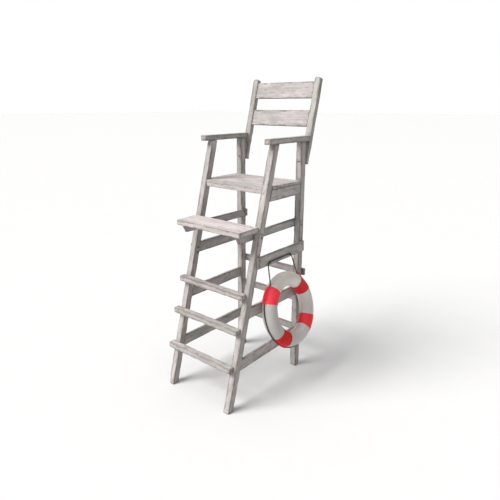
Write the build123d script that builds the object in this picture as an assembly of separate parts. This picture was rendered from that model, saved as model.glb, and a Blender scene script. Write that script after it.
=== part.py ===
from build123d import *
import math
import os

# Tall wooden lifeguard chair with a ring buoy hanging on its right-hand side rail.
# Millimetres, +Z up. The ladder side faces -Y and "right" is +X.
# The chair is drawn with x = 0 midway between its sides, y = 0 at the toe of the front
# legs and z = 0 on the ground. At the end every piece moves by the same amount, so that
# the origin is under the middle of the whole object's box.

# ---- frame timbers ----
WIDTH = 680.0  # over the outer faces of the legs
LEG_X = 54.0  # leg section across the chair
LEG_Y = 58.0  # leg section front to back
FRONT_LEAN = 15.4  # front legs lean back by this angle, degrees
REAR_LEG_Y = 902.0  # front face of the upright rear legs
ARM_Z = 1988.0  # tops of the legs, under the armrests
BOARD = 22.0  # thickness of rails, aprons and slats
TENON = 25.0  # depth of a rail's tenon in a leg
TENON_SHOULDER = 14.0  # how much lower a tenon is than its rail, above and below

# ---- side rails: height of the middle line, (left, right) ----
BRACKET_Z = (1332.0, 1332.0)
BRACKET_H = 64.0
BRACKET_FRONT = 180.0  # the bracket's front end, at its top edge
BRACKET_CUT = 30.0  # how far its slanted front end runs back
UPPER_RAIL_Z = (1117.0, 1137.0)
UPPER_RAIL_Y = (335.0, 948.0)
MIDDLE_RAIL_Z = (763.0, 745.0)
LOWER_RAIL_Z = (346.0, 346.0)
RAIL_H = 90.0

# ---- cross pieces ----
REAR_RAIL_Z = {"lower": 351.0, "middle": 640.0, "upper": 895.0}
REAR_RAIL_H = 60.0
REAR_RAIL_X = (-363.0, 363.0)
RUNG_Z = {"lower": 342.5, "middle": 629.5, "upper": 892.5}
RUNG_H = 44.0
RUNG_D = 50.0  # depth of a rung at mid height
RUNG_X = {"lower": (-361.0, 319.0), "middle": (-368.0, 321.0), "upper": (-361.0, 320.0)}
FOOTREST_X = (-318.0, 331.0)
FOOTREST_T = 41.0
FOOTREST_FRONT = 157.0

# ---- seat ----
SEAT_Z = 1686.0
SEAT_FRONT_H = 54.0  # front edge: board and apron together
SEAT_SIDE_H = (64.0, 109.0)  # side edges: board and apron together, (left, right)
REAR_BOARDS = 4
BOARD_GAP = 3.0
REAR_APRON_H = 64.0

# ---- armrests and back ----
ARM_T = 42.0
ARM_W = 56.0
ARM_FRONT = 488.0
ARM_X = {-1: -331.0, 1: 314.0}  # middle of each armrest
POST_T = 40.0  # thickness, square to its front face
POST_LEAN = 14.5  # degrees back from upright
POST_FACE = (1024.0, 2040.0)  # a point (y, z) on the posts' front face
POST_FOOT_Z = 1813.0
POST_TOP_Z = 2474.0
POST_CORNER = 16.0  # rounding of the posts' top corners
WEDGE_TOP_Z = 1862.0
SLAT_H = 130.0
SLAT_Z = {"upper": 2380.0, "lower": 2162.0}
SLAT_RECESS = 5.0  # slats sit this far behind the posts' front faces

# ---- fasteners ----
BOLT_R = 4.0
NUT_AF = 13.0
NUT_T = 6.5
WASHER_R = 11.0
WASHER_T = 1.6
SCREW_R = 2.5
SCREW_HEAD_R = 5.0
SCREW_HEAD_T = 2.0
DRIVE = (6.0, 1.2, 1.3)  # length, width and depth of each arm of a screw's cross recess
HOLE_PLAY = 0.1  # radial room round a shank or a head in the wood
PEG_R = 4.0
PEG_OUT = 24.0
PEG_IN = 18.0
PEG_RISE = 8.0  # the pegs point up by this angle, degrees
PEG_TIP = 1.0  # chamfer of a peg's free end
PEG_Y = (468.0, 734.0)
PEG_Z = 1111.0

# ---- where the fasteners go ----
BRACKET_BOLT_RISE = 14.0  # each pair of bolts is this far above and below the middle line
RAIL_BOLT_RISE = 22.0
BOLT_STAGGER = 8.0  # the upper bolt of a pair is this far ahead of its middle
FRONT_BOLTS = 6.0  # a front pair's middle, behind the middle of its leg
REAR_BOLTS = -4.0  # a rear pair's middle
BOLT_HEAD = (13.0, 5.0)  # radius of a head's dome, and the height of the dome
BOLT_SPARE = 3.0  # thread that stands out of a nut
SEAT_DEPTH = 6.0  # the post bolts' washers are sunk this far into the posts
REAR_RAIL_SCREW = 16.0  # above and below the middle of a rail
RUNG_SCREW = 11.0
SLAT_SCREW = 40.0
SEAT_SCREW = 24.0  # either side of a board's middle line
SEAT_FRONT_SCREWS = (-200.0, 0.0, 200.0)
FOOTREST_SCREWS = (60.0, 125.0, 190.0)  # behind the footrest's front edge
ARM_FRONT_SCREWS = (18.0, 42.0)  # behind the face of the front leg
ARM_REAR_SCREWS = (16.0, 42.0)
WEDGE_INSET = 4.0  # the wedges are this much narrower than a leg, each side
CUTTER = 30.0  # length of a cut that only has to reach open air

# ---- ring buoy ----
RING_OD = 610.0
RING_TUBE = 122.0
RING_WALL = 3.0
RING_TILT = 16.25  # foot of the ring stands out from the chair by this angle, degrees
RING_CENTRE = (427.5, 654.0, 684.0)
BAND_T = 1.8
BAND_SPAN = 28.0  # degrees of the ring that one band covers
BAND_ANGLES = (36.0, 141.0, 228.0, 316.0)  # from the rear, turning upward first
HANGER_BANDS = (1, 2)  # the bands that hold the ends of both ropes
HANGER_BESIDE = 10.6  # the hanging rope's ends lie this far outward of the grab line
ROPE_TAIL = 22.0  # degrees of the ring that each rope's end runs under its band
ROPE_R = 5.0
ROPE_PLAY = 0.4
ROPE_BEND = 21.0  # the rope's easy bend where it comes off a peg
ROPE_EXIT = 14.5  # from a band's edge to the corner where the rope turns up
BIGHT_END = 6.0  # the straight bight starts this far inside each peg

HALF = WIDTH / 2
INNER = HALF - LEG_X
LEAN = math.tan(math.radians(FRONT_LEAN))
POST_SLOPE = math.tan(math.radians(POST_LEAN))
REAR_FACE = REAR_LEG_Y + LEG_Y
SEAT_BOARD_Z = SEAT_Z - BOARD
SIDES = {"left": -1, "right": 1}


def front_y(z):
    """Front face of the front legs at height z."""
    return z * LEAN


def post_y(z):
    """Front face of the back posts at height z."""
    return POST_FACE[0] + (z - POST_FACE[1]) * POST_SLOPE


def block(x, y, z):
    """A box between the two values given for each axis."""
    size = (x[1] - x[0], y[1] - y[0], z[1] - z[0])
    middle = [(v[0] + v[1]) / 2 for v in (x, y, z)]
    return Pos(*middle) * Box(*size)


def side_prism(points, x):
    """A side-view outline of (y, z) points, between two x values."""
    outline = Plane.YZ * Polygon(*points, align=None)
    return Pos(min(x), 0, 0) * extrude(outline, abs(x[1] - x[0]))


def span(side, inner, outer):
    """Two x values at these distances from the middle, low one first."""
    return tuple(sorted((side * inner, side * outer)))


def along(point, direction):
    """A location whose own +Z points in the given direction."""
    return Plane(origin=point, z_dir=direction).location


# ---- timbers ----
def front_leg(side):
    points = [(0, 0), (LEG_Y, 0), (front_y(ARM_Z) + LEG_Y, ARM_Z), (front_y(ARM_Z), ARM_Z)]
    return side_prism(points, span(side, INNER, HALF))


def rear_leg(side):
    return block(span(side, INNER, HALF), (REAR_LEG_Y, REAR_FACE), (0, ARM_Z))


def footrest_bracket(side, z):
    low, high = z - BRACKET_H / 2, z + BRACKET_H / 2
    points = [
        (BRACKET_FRONT, high),
        (BRACKET_FRONT + BRACKET_CUT, low),
        (REAR_FACE, low),
        (REAR_FACE, high),
    ]
    return side_prism(points, span(side, INNER - BOARD, INNER))


def upper_rail(side, z):
    x = span(side, HALF, HALF + BOARD)
    return block(x, UPPER_RAIL_Y, (z - RAIL_H / 2, z + RAIL_H / 2))


def between_legs(z, x, deeper=0.0):
    """A board from a front leg's back face to a rear leg, longer at each end by `deeper`."""
    points = [
        (front_y(z[0]) + LEG_Y - deeper, z[0]),
        (REAR_LEG_Y + deeper, z[0]),
        (REAR_LEG_Y + deeper, z[1]),
        (front_y(z[1]) + LEG_Y - deeper, z[1]),
    ]
    return side_prism(points, x)


def tenoned_rail(z, x):
    """The rail with its tenons, and the tenons' block that cuts the mortises."""
    body = between_legs(z, x)
    tenons = between_legs((z[0] + TENON_SHOULDER, z[1] - TENON_SHOULDER), x, TENON)
    return body + tenons, tenons


def rung(z, x):
    """A rung with level faces and a back that lies on the leaning legs."""
    low, high = z - RUNG_H / 2, z + RUNG_H / 2
    front = front_y(z) - RUNG_D
    return side_prism([(front, low), (front_y(low), low), (front_y(high), high), (front, high)], x)


def armrest(side):
    x = (ARM_X[side] - ARM_W / 2, ARM_X[side] + ARM_W / 2)
    top = ARM_Z + ARM_T
    return side_prism([(ARM_FRONT, ARM_Z), (post_y(ARM_Z), ARM_Z), (post_y(top), top), (ARM_FRONT, top)], x)


def post_frame(z):
    """A frame on the posts' front face at height z: its Y runs up the post, its Z forward."""
    up = (0, math.sin(math.radians(POST_LEAN)), math.cos(math.radians(POST_LEAN)))
    return Plane(origin=(0, post_y(z), z), x_dir=(1, 0, 0), z_dir=(0, -up[2], up[1]))


def back_post(side):
    length = (POST_TOP_Z - POST_FOOT_Z) / math.cos(math.radians(POST_LEAN))
    frame = post_frame(POST_FOOT_Z)
    post = Pos(side * (INNER + LEG_X / 2), length / 2, -POST_T / 2) * Box(LEG_X, length, POST_T)
    corners = post.edges().filter_by(Axis.Z).group_by(Axis.Y)[-1]
    return frame.location * fillet(corners, POST_CORNER)


def post_wedge(side):
    """Tapered packing that fills the gap between a rear leg and the foot of a post."""
    foot, top = POST_FOOT_Z, WEDGE_TOP_Z
    points = [(REAR_FACE, foot), (post_y(foot), foot), (post_y(top), top), (REAR_FACE, top)]
    return side_prism(points, span(side, INNER + WEDGE_INSET, HALF - WEDGE_INSET))


def back_slat(z):
    slat = Pos(0, 0, -SLAT_RECESS - BOARD / 2) * Box(2 * INNER, SLAT_H, BOARD)
    return post_frame(z).location * slat


def seat_boards():
    """The front board between the front legs, then the boards that span the chair."""
    z = (SEAT_BOARD_Z, SEAT_Z)
    front = front_y(SEAT_Z)
    back_of_leg = front + LEG_Y
    boards = [block((-INNER, INNER), (front, back_of_leg), z)]
    first, last = back_of_leg + BOARD_GAP, REAR_LEG_Y - BOARD_GAP
    pitch = (last - first + BOARD_GAP) / REAR_BOARDS
    for n in range(REAR_BOARDS):
        start = first + n * pitch
        boards.append(block((-HALF, HALF), (start, start + pitch - BOARD_GAP), z))
    return boards


# ---- fasteners: each points along its own -Z, with the underside of its head at z = 0 ----
def bolt(grip):
    length = grip + WASHER_T + NUT_T + BOLT_SPARE
    shank = Pos(0, 0, -length / 2) * Cylinder(BOLT_R, length)
    radius, height = BOLT_HEAD
    above = Pos(0, 0, radius) * Box(2 * radius, 2 * radius, 2 * radius)
    return shank + (Pos(0, 0, height - radius) * Sphere(radius) & above)


def bolt_hole(grip):
    return Pos(0, 0, -grip / 2) * Cylinder(BOLT_R + HOLE_PLAY, grip + 2 * HOLE_PLAY)


def washer(grip):
    ring = Cylinder(WASHER_R, WASHER_T) - Cylinder(BOLT_R + HOLE_PLAY, WASHER_T)
    return Pos(0, 0, -grip - WASHER_T / 2) * ring


def nut(grip):
    hexagon = extrude(RegularPolygon(NUT_AF / 2, 6, major_radius=False), NUT_T)
    hexagon -= Pos(0, 0, NUT_T / 2) * Cylinder(BOLT_R + HOLE_PLAY, NUT_T)
    return Pos(0, 0, -grip - WASHER_T - NUT_T) * hexagon


def screw_shape(length, play=0.0):
    """The outside of a flat-headed screw, its head's top at z = 0; with play, its hole."""
    head = Pos(0, 0, -SCREW_HEAD_T / 2) * Cylinder(SCREW_HEAD_R + play, SCREW_HEAD_T)
    shank_length = length - SCREW_HEAD_T
    shank = Pos(0, 0, -SCREW_HEAD_T - shank_length / 2) * Cylinder(SCREW_R + play, shank_length)
    return head + shank


def screw(length):
    """A screw sunk flush, with a cross recess in its head."""
    arm_length, arm_width, depth = DRIVE
    arm = Pos(0, 0, -depth / 2) * Box(arm_length, arm_width, depth)
    return screw_shape(length) - arm - Rot(0, 0, 90) * arm


def both_sides(rows):
    """Repeat (x, y, z) rows mirrored to the other side."""
    return [(side * x, y, z) for side in SIDES.values() for x, y, z in rows]


def side_bolt_places():
    """Head places and directions of the bolts through the brackets and the upper rails."""
    places = []
    for index, side in enumerate(SIDES.values()):
        for z, rise, outside in (
            (BRACKET_Z[index], BRACKET_BOLT_RISE, HALF),
            (UPPER_RAIL_Z[index], RAIL_BOLT_RISE, HALF + BOARD),
        ):
            for up, back in ((rise, -BOLT_STAGGER), (-rise, BOLT_STAGGER)):
                front = front_y(z + up) + LEG_Y / 2 + FRONT_BOLTS + back / 2
                rear = REAR_LEG_Y + LEG_Y / 2 + REAR_BOLTS + back
                places += [along((side * outside, y, z + up), (side, 0, 0)) for y in (front, rear)]
    return places


def rear_rail_screw_places():
    heights = [z + s for z in REAR_RAIL_Z.values() for s in (-REAR_RAIL_SCREW, REAR_RAIL_SCREW)]
    rows = [(INNER + LEG_X / 2, REAR_FACE + BOARD, z) for z in heights]
    return [along(p, (0, 1, 0)) for p in both_sides(rows)]


def rung_screw_places():
    places = []
    for name, z in RUNG_Z.items():
        left = -INNER - LEG_X / 2
        right = (INNER + RUNG_X[name][1]) / 2
        for x in (left, right):
            for s in (-RUNG_SCREW, RUNG_SCREW):
                places.append(along((x, front_y(z) - RUNG_D, z + s), (0, -1, 0)))
    return places


def footrest_screw_places():
    top = BRACKET_Z[0] + BRACKET_H / 2 + FOOTREST_T
    rows = [(INNER - BOARD / 2, FOOTREST_FRONT + d, top) for d in FOOTREST_SCREWS]
    return [along(p, (0, 0, 1)) for p in both_sides(rows)]


def seat_screw_places(boards):
    middles = [(b.bounding_box().min.Y + b.bounding_box().max.Y) / 2 for b in boards]
    rows = [(HALF - BOARD / 2, y + s, SEAT_Z) for y in middles[1:] for s in (-SEAT_SCREW, SEAT_SCREW)]
    front = [(x, front_y(SEAT_Z) + BOARD / 2, SEAT_Z) for x in SEAT_FRONT_SCREWS]
    return [along(p, (0, 0, 1)) for p in both_sides(rows) + front]


def armrest_screw_places():
    rows = [front_y(ARM_Z) + d for d in ARM_FRONT_SCREWS] + [REAR_LEG_Y + d for d in ARM_REAR_SCREWS]
    places = []
    for side in SIDES.values():
        low = max(ARM_X[side] - ARM_W / 2, min(side * INNER, side * HALF))
        high = min(ARM_X[side] + ARM_W / 2, max(side * INNER, side * HALF))
        places += [along(((low + high) / 2, y, ARM_Z + ARM_T), (0, 0, 1)) for y in rows]
    return places


def slat_screw_places():
    places = []
    for z in SLAT_Z.values():
        frame = post_frame(z)
        for side in SIDES.values():
            for s in (-SLAT_SCREW, SLAT_SCREW):
                point = frame.from_local_coords((side * HALF, s, -SLAT_RECESS - BOARD / 2))
                places.append(along(point, (side, 0, 0)))
    return places


def post_screw_places():
    """One screw through the back of each post into the end of the armrest."""
    frame = post_frame(ARM_Z + ARM_T / 2)
    points = [frame.from_local_coords((s * (INNER + LEG_X / 2), 0, -POST_T)) for s in SIDES.values()]
    return [along(p, -frame.z_dir) for p in points]


def post_bolt_places():
    z = (POST_FOOT_Z + WEDGE_TOP_Z) / 2
    return [along((s * (INNER + LEG_X / 2), REAR_LEG_Y, z), (0, -1, 0)) for s in SIDES.values()]


POST_GRIP = LEG_Y + post_y((POST_FOOT_Z + WEDGE_TOP_Z) / 2) - REAR_FACE + POST_T - SEAT_DEPTH


def post_counterbore():
    """A flat seat for the washer and nut in the sloping back of a post."""
    return Pos(0, 0, -POST_GRIP - CUTTER / 2) * Cylinder(WASHER_R + 10 * HOLE_PLAY, CUTTER)


def peg(play=0.0):
    """A headless pin, driven in to z = 0; its free end is slightly domed."""
    pin = Pos(0, 0, (PEG_OUT - PEG_IN) / 2) * Cylinder(PEG_R + play, PEG_OUT + PEG_IN)
    return chamfer(pin.edges().group_by(Axis.Z)[-1], PEG_TIP) if play == 0 else pin


def peg_places():
    rise = math.radians(PEG_RISE)
    return [along((HALF + BOARD, y, PEG_Z), (math.cos(rise), 0, math.sin(rise))) for y in PEG_Y]


# ---- ring buoy: drawn flat about its own Z axis, with its X axis toward the rear ----
def ring_location():
    tilt = math.radians(RING_TILT)
    normal = (math.cos(tilt), 0, math.sin(tilt))
    return Plane(origin=RING_CENTRE, x_dir=(0, 1, 0), z_dir=normal).location


TUBE_LINE = (RING_OD - RING_TUBE) / 2
RIM = RING_OD / 2 + ROPE_R + ROPE_PLAY / 2  # the grab line's centre line round the ring
HANGER_RIM = TUBE_LINE + math.sqrt((RIM - TUBE_LINE) ** 2 - HANGER_BESIDE**2)  # and the hanger's


def ring_arc(line, section_radius, start, sweep):
    """Part of a torus about Z, from the angle `start` over `sweep` degrees.

    `line` is the radius of its centre line and that line's height along Z.
    """
    section = Plane.XZ * Pos(*line) * Circle(section_radius)
    return Rot(0, 0, start) * revolve(section, Axis.Z, sweep)


TUBE = (TUBE_LINE, 0)
GRAB = (RIM, 0)
HANGER = (HANGER_RIM, HANGER_BESIDE)


def ring_band(angle, ropes):
    """A band round the tube, bulging over the ropes that run under it."""
    start = angle - BAND_SPAN / 2
    lines = [(TUBE, RING_TUBE / 2)] + [(rope, ROPE_R) for rope in ropes]
    sleeve = Part()
    for line, radius in lines:
        sleeve += ring_arc(line, radius + ROPE_PLAY / 2 + BAND_T, start, BAND_SPAN)
    for line, radius in lines:
        sleeve -= ring_arc(line, radius + ROPE_PLAY / 2, start - 1, BAND_SPAN + 2)
    return sleeve.solids().sort_by(SortBy.VOLUME)[-1]


def hanger_point(angle):
    """The hanging rope's centre on the rim here, and its direction as the angle grows."""
    turn = math.radians(angle)
    flat = Vector(HANGER_RIM * math.cos(turn), HANGER_RIM * math.sin(turn), HANGER_BESIDE)
    ahead = Vector(-math.sin(turn), math.cos(turn), 0)
    place = Plane(ring_location())
    return place.from_local_coords(flat), (place.from_local_coords(ahead) - place.origin)


ROPE_X = HALF + BOARD + ROPE_R + 2 * ROPE_PLAY
BIGHT_OVER = PEG_R + 2 * ROPE_PLAY + ROPE_R  # the rope's middle lies this far over a peg's
BIGHT_Z = PEG_Z + (ROPE_X - HALF - BOARD) * math.tan(math.radians(PEG_RISE)) + BIGHT_OVER


def bend_radius(before, corner, after):
    """The largest easy bend: it takes 0.45 of the shorter of the two runs that meet here."""
    turn = math.radians((corner - before).get_angle(after - corner))
    return 0.45 * min((corner - before).length, (after - corner).length) / math.tan(turn / 2)


def rope_tube(name, points, last_radius):
    """A rope of straight runs and tangent arcs; prints its radii, length and volumes."""
    radii = [bend_radius(*points[n : n + 3]) for n in range(len(points) - 3)] + [last_radius]
    path = FilletPolyline(*points, radius=radii)
    tube = sweep(Plane(origin=path @ 0, z_dir=path % 0) * Circle(ROPE_R), path=path)
    expected = math.pi * ROPE_R**2 * path.length
    rounded = [round(r, 1) for r in radii]
    print(name, [tuple(round(v, 1) for v in p) for p in points])
    print(f"{name}: length {path.length:.1f} radii {rounded} volume {tube.volume:.0f} of {expected:.0f}")
    return tube


def rope_drop(name, angle, outward, peg_y):
    """From a band's edge up to a peg and over it; `outward` is the drop's side of the peg."""
    start, ahead = hanger_point(angle)
    corner = start + ahead * (outward * ROPE_EXIT)
    # in side view the drop is the tangent from `corner` to the bend that starts over the peg
    away, up = outward * (corner.Y - peg_y), BIGHT_Z - ROPE_BEND - corner.Z
    slant = math.atan2(away, up) - math.asin(ROPE_BEND / math.hypot(away, up))
    over_peg = Vector(ROPE_X, corner.Y - outward * math.tan(slant) * (BIGHT_Z - corner.Z), BIGHT_Z)
    end = Vector(ROPE_X, peg_y - outward * BIGHT_END, BIGHT_Z)
    tail_start = angle if outward < 0 else angle - ROPE_TAIL
    tail = ring_location() * ring_arc(HANGER, ROPE_R, tail_start, ROPE_TAIL)
    return rope_tube(name, [start, corner, over_peg, end], ROPE_BEND) + tail


def rope_bight():
    y = (PEG_Y[0] + BIGHT_END, PEG_Y[1] - BIGHT_END)
    return Pos(ROPE_X, sum(y) / 2, BIGHT_Z) * Rot(90, 0, 0) * Cylinder(ROPE_R, y[1] - y[0])


def build():
    wood = {}
    mortises = {"left": [], "right": []}
    for index, (name, side) in enumerate(SIDES.items()):
        wood[f"front_leg_{name}"] = front_leg(side)
        wood[f"rear_leg_{name}"] = rear_leg(side)
        wood[f"footrest_bracket_{name}"] = footrest_bracket(side, BRACKET_Z[index])
        wood[f"upper_side_rail_{name}"] = upper_rail(side, UPPER_RAIL_Z[index])
        middle = span(side, INNER + (LEG_X - BOARD) / 2, HALF - (LEG_X - BOARD) / 2)
        for rail, z in (("middle", MIDDLE_RAIL_Z[index]), ("lower", LOWER_RAIL_Z[index])):
            shape, cut = tenoned_rail((z - RAIL_H / 2, z + RAIL_H / 2), middle)
            wood[f"{rail}_side_rail_{name}"] = shape
            mortises[name].append(cut)
        apron_z = (SEAT_Z - SEAT_SIDE_H[index], SEAT_BOARD_Z)
        shape, cut = tenoned_rail(apron_z, span(side, HALF - BOARD, HALF))
        wood[f"seat_side_apron_{name}"] = shape
        mortises[name].append(cut)
        wood[f"armrest_{name}"] = armrest(side)
        wood[f"back_post_{name}"] = back_post(side)
        wood[f"post_wedge_{name}"] = post_wedge(side)
    for name, cuts in mortises.items():
        for leg in ("front_leg", "rear_leg"):
            wood[f"{leg}_{name}"] -= cuts

    for name, z in REAR_RAIL_Z.items():
        rail_z = (z - REAR_RAIL_H / 2, z + REAR_RAIL_H / 2)
        wood[f"rear_rail_{name}"] = block(REAR_RAIL_X, (REAR_FACE, REAR_FACE + BOARD), rail_z)
    for name, z in RUNG_Z.items():
        wood[f"rung_{name}"] = rung(z, RUNG_X[name])
    footrest_z = BRACKET_Z[0] + BRACKET_H / 2
    footrest_y = (FOOTREST_FRONT, front_y(footrest_z))
    wood["footrest_board"] = block(FOOTREST_X, footrest_y, (footrest_z, footrest_z + FOOTREST_T))
    boards = seat_boards()
    for number, board in enumerate(boards, start=1):
        wood[f"seat_board_{number}"] = board
    front = front_y(SEAT_Z)
    wood["seat_front_apron"] = block(
        (-INNER, INNER), (front, front + BOARD), (SEAT_Z - SEAT_FRONT_H, SEAT_BOARD_Z)
    )
    rear = REAR_LEG_Y - BOARD_GAP
    wood["seat_rear_apron"] = block(
        (-HALF + BOARD, HALF - BOARD), (rear - BOARD, rear), (SEAT_BOARD_Z - REAR_APRON_H, SEAT_BOARD_Z)
    )
    for name, z in SLAT_Z.items():
        wood[f"back_slat_{name}"] = back_slat(z)

    grip = LEG_X + BOARD
    side_places = side_bolt_places()
    post_places = post_bolt_places()
    screws = {
        "rear_rail_screws": (rear_rail_screw_places(), 60.0),
        "rung_screws": (rung_screw_places(), 90.0),
        "footrest_screws": (footrest_screw_places(), 75.0),
        "seat_screws": (seat_screw_places(boards), 50.0),
        "armrest_screws": (armrest_screw_places(), 95.0),
        "slat_screws": (slat_screw_places(), 90.0),
        "post_screws": (post_screw_places(), 85.0),
    }
    tools = [p * bolt_hole(grip) for p in side_places]
    tools += [p * bolt_hole(POST_GRIP + CUTTER) for p in post_places]
    tools += [p * post_counterbore() for p in post_places]
    tools += [p * peg(HOLE_PLAY) for p in peg_places()]
    for places, length in screws.values():
        hole = screw_shape(length, HOLE_PLAY)
        tools += [p * hole for p in places]
    boxes = [t.bounding_box() for t in tools]
    for name, timber in wood.items():
        here = timber.bounding_box()
        near = [t for t, b in zip(tools, boxes) if b.overlaps(here)]
        if near:
            wood[name] = timber - near

    parts = dict(wood)
    parts["side_rail_bolts"] = Compound([p * bolt(grip) for p in side_places])
    parts["post_bolts"] = Compound([p * bolt(POST_GRIP) for p in post_places])
    parts["bolt_washers"] = Compound(
        [p * washer(grip) for p in side_places] + [p * washer(POST_GRIP) for p in post_places]
    )
    parts["bolt_nuts"] = Compound(
        [p * nut(grip) for p in side_places] + [p * nut(POST_GRIP) for p in post_places]
    )
    for name, (places, length) in screws.items():
        one = screw(length)
        parts[name] = Compound([p * one for p in places])
    parts["hanging_pegs"] = Compound([p * peg() for p in peg_places()])

    ring = ring_location()
    core = RING_TUBE / 2 - RING_WALL
    parts["ring_shell"] = ring * (Torus(TUBE_LINE, RING_TUBE / 2) - Torus(TUBE_LINE, core))
    parts["ring_foam_core"] = ring * Torus(TUBE_LINE, core - ROPE_PLAY / 2)
    for number, angle in enumerate(BAND_ANGLES, start=1):
        ropes = (GRAB, HANGER) if number in HANGER_BANDS else (GRAB,)
        parts[f"ring_band_{number}"] = ring * ring_band(angle, ropes)
    # the grab line runs round the ring's foot, from under one upper band to under the other
    first = BAND_ANGLES[1] + BAND_SPAN / 2 - ROPE_TAIL
    last = 360 + BAND_ANGLES[0] - BAND_SPAN / 2 + ROPE_TAIL
    parts["grab_line"] = ring * ring_arc(GRAB, ROPE_R, first, last - first)
    parts["hanger_bight"] = rope_bight()
    low = BAND_ANGLES[0] + BAND_SPAN / 2
    high = BAND_ANGLES[1] - BAND_SPAN / 2
    parts["hanger_drop_left"] = rope_drop("hanger_drop_left", high, -1, PEG_Y[0])
    parts["hanger_drop_right"] = rope_drop("hanger_drop_right", low, 1, PEG_Y[1])
    return parts


def main():
    parts = build()
    box = Compound(list(parts.values())).bounding_box()
    shift = Pos(-(box.min.X + box.max.X) / 2, -(box.min.Y + box.max.Y) / 2, -box.min.Z)
    print("box", box, "shift", shift.position)
    os.makedirs("parts", exist_ok=True)
    for name, shape in parts.items():
        export_step(shift * shape, f"parts/{name}.step")


main()
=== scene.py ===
import math

import bpy
import numpy as np
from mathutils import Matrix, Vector


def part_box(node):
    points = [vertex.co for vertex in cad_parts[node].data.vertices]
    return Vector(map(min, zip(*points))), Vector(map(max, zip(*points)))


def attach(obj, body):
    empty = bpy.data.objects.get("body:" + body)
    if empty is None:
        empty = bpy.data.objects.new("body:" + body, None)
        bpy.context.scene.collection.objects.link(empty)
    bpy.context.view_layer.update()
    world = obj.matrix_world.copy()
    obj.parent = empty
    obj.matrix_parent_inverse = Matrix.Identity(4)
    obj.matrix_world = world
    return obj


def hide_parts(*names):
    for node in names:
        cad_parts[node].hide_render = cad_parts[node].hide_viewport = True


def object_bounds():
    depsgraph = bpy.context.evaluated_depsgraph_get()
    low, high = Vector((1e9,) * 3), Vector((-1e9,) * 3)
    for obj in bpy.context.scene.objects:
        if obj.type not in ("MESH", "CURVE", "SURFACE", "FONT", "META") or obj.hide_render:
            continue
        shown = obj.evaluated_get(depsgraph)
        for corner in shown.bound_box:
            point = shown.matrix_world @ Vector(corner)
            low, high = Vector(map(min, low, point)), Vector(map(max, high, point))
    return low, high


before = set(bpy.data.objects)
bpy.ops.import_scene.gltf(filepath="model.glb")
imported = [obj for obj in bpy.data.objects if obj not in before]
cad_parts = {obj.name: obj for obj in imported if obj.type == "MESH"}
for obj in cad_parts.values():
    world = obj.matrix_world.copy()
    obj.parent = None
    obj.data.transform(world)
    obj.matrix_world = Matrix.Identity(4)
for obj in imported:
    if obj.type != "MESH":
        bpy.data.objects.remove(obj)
CAD_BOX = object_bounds()

# ---- the chair's and the ring's own measures, in metres and degrees ----
FRONT_LEAN = math.radians(15.4)
POST_LEAN = math.radians(14.5)
POST_CORNER = 0.016
RING_TILT = math.radians(16.25)
RING_OUTER = 0.305
RING_TUBE = 0.061
TUBE_LINE = RING_OUTER - RING_TUBE
BAND_SPAN = math.radians(28.0)
BAND_ANGLES = [math.radians(a) for a in (36.0, 141.0, 228.0, 316.0)]
ROPE_R = 0.005
GRAB_LINE = TUBE_LINE + RING_TUBE + ROPE_R + 0.0002
HANGER_BESIDE = 0.0106
HANGER_LINE = TUBE_LINE + math.sqrt((GRAB_LINE - TUBE_LINE) ** 2 - HANGER_BESIDE**2)
ROPE_TAIL = math.radians(22.0)

UP = np.array((0.0, 0.0, 1.0))
ACROSS = np.array((1.0, 0.0, 0.0))
BACK = np.array((0.0, 1.0, 0.0))
LEG_UP = np.array((0.0, math.sin(FRONT_LEAN), math.cos(FRONT_LEAN)))
POST_UP = np.array((0.0, math.sin(POST_LEAN), math.cos(POST_LEAN)))

SIDES = ("left", "right")


# ---------------------------------------------------------------- camera and stage
def make_camera():
    data = bpy.data.cameras.new("camera")
    data.lens = 33.0
    data.sensor_width = 36.0
    camera = bpy.data.objects.new("camera", data)
    camera.location = (2.2596, -2.7632, 2.2636)
    azimuth, dip = math.radians(39.555), math.radians(17.586)
    ahead = Vector((-math.sin(azimuth) * math.cos(dip), math.cos(azimuth) * math.cos(dip), -math.sin(dip)))
    camera.rotation_euler = ahead.to_track_quat("-Z", "Y").to_euler()
    bpy.context.scene.collection.objects.link(camera)
    bpy.context.scene.camera = camera


make_camera()


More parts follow.
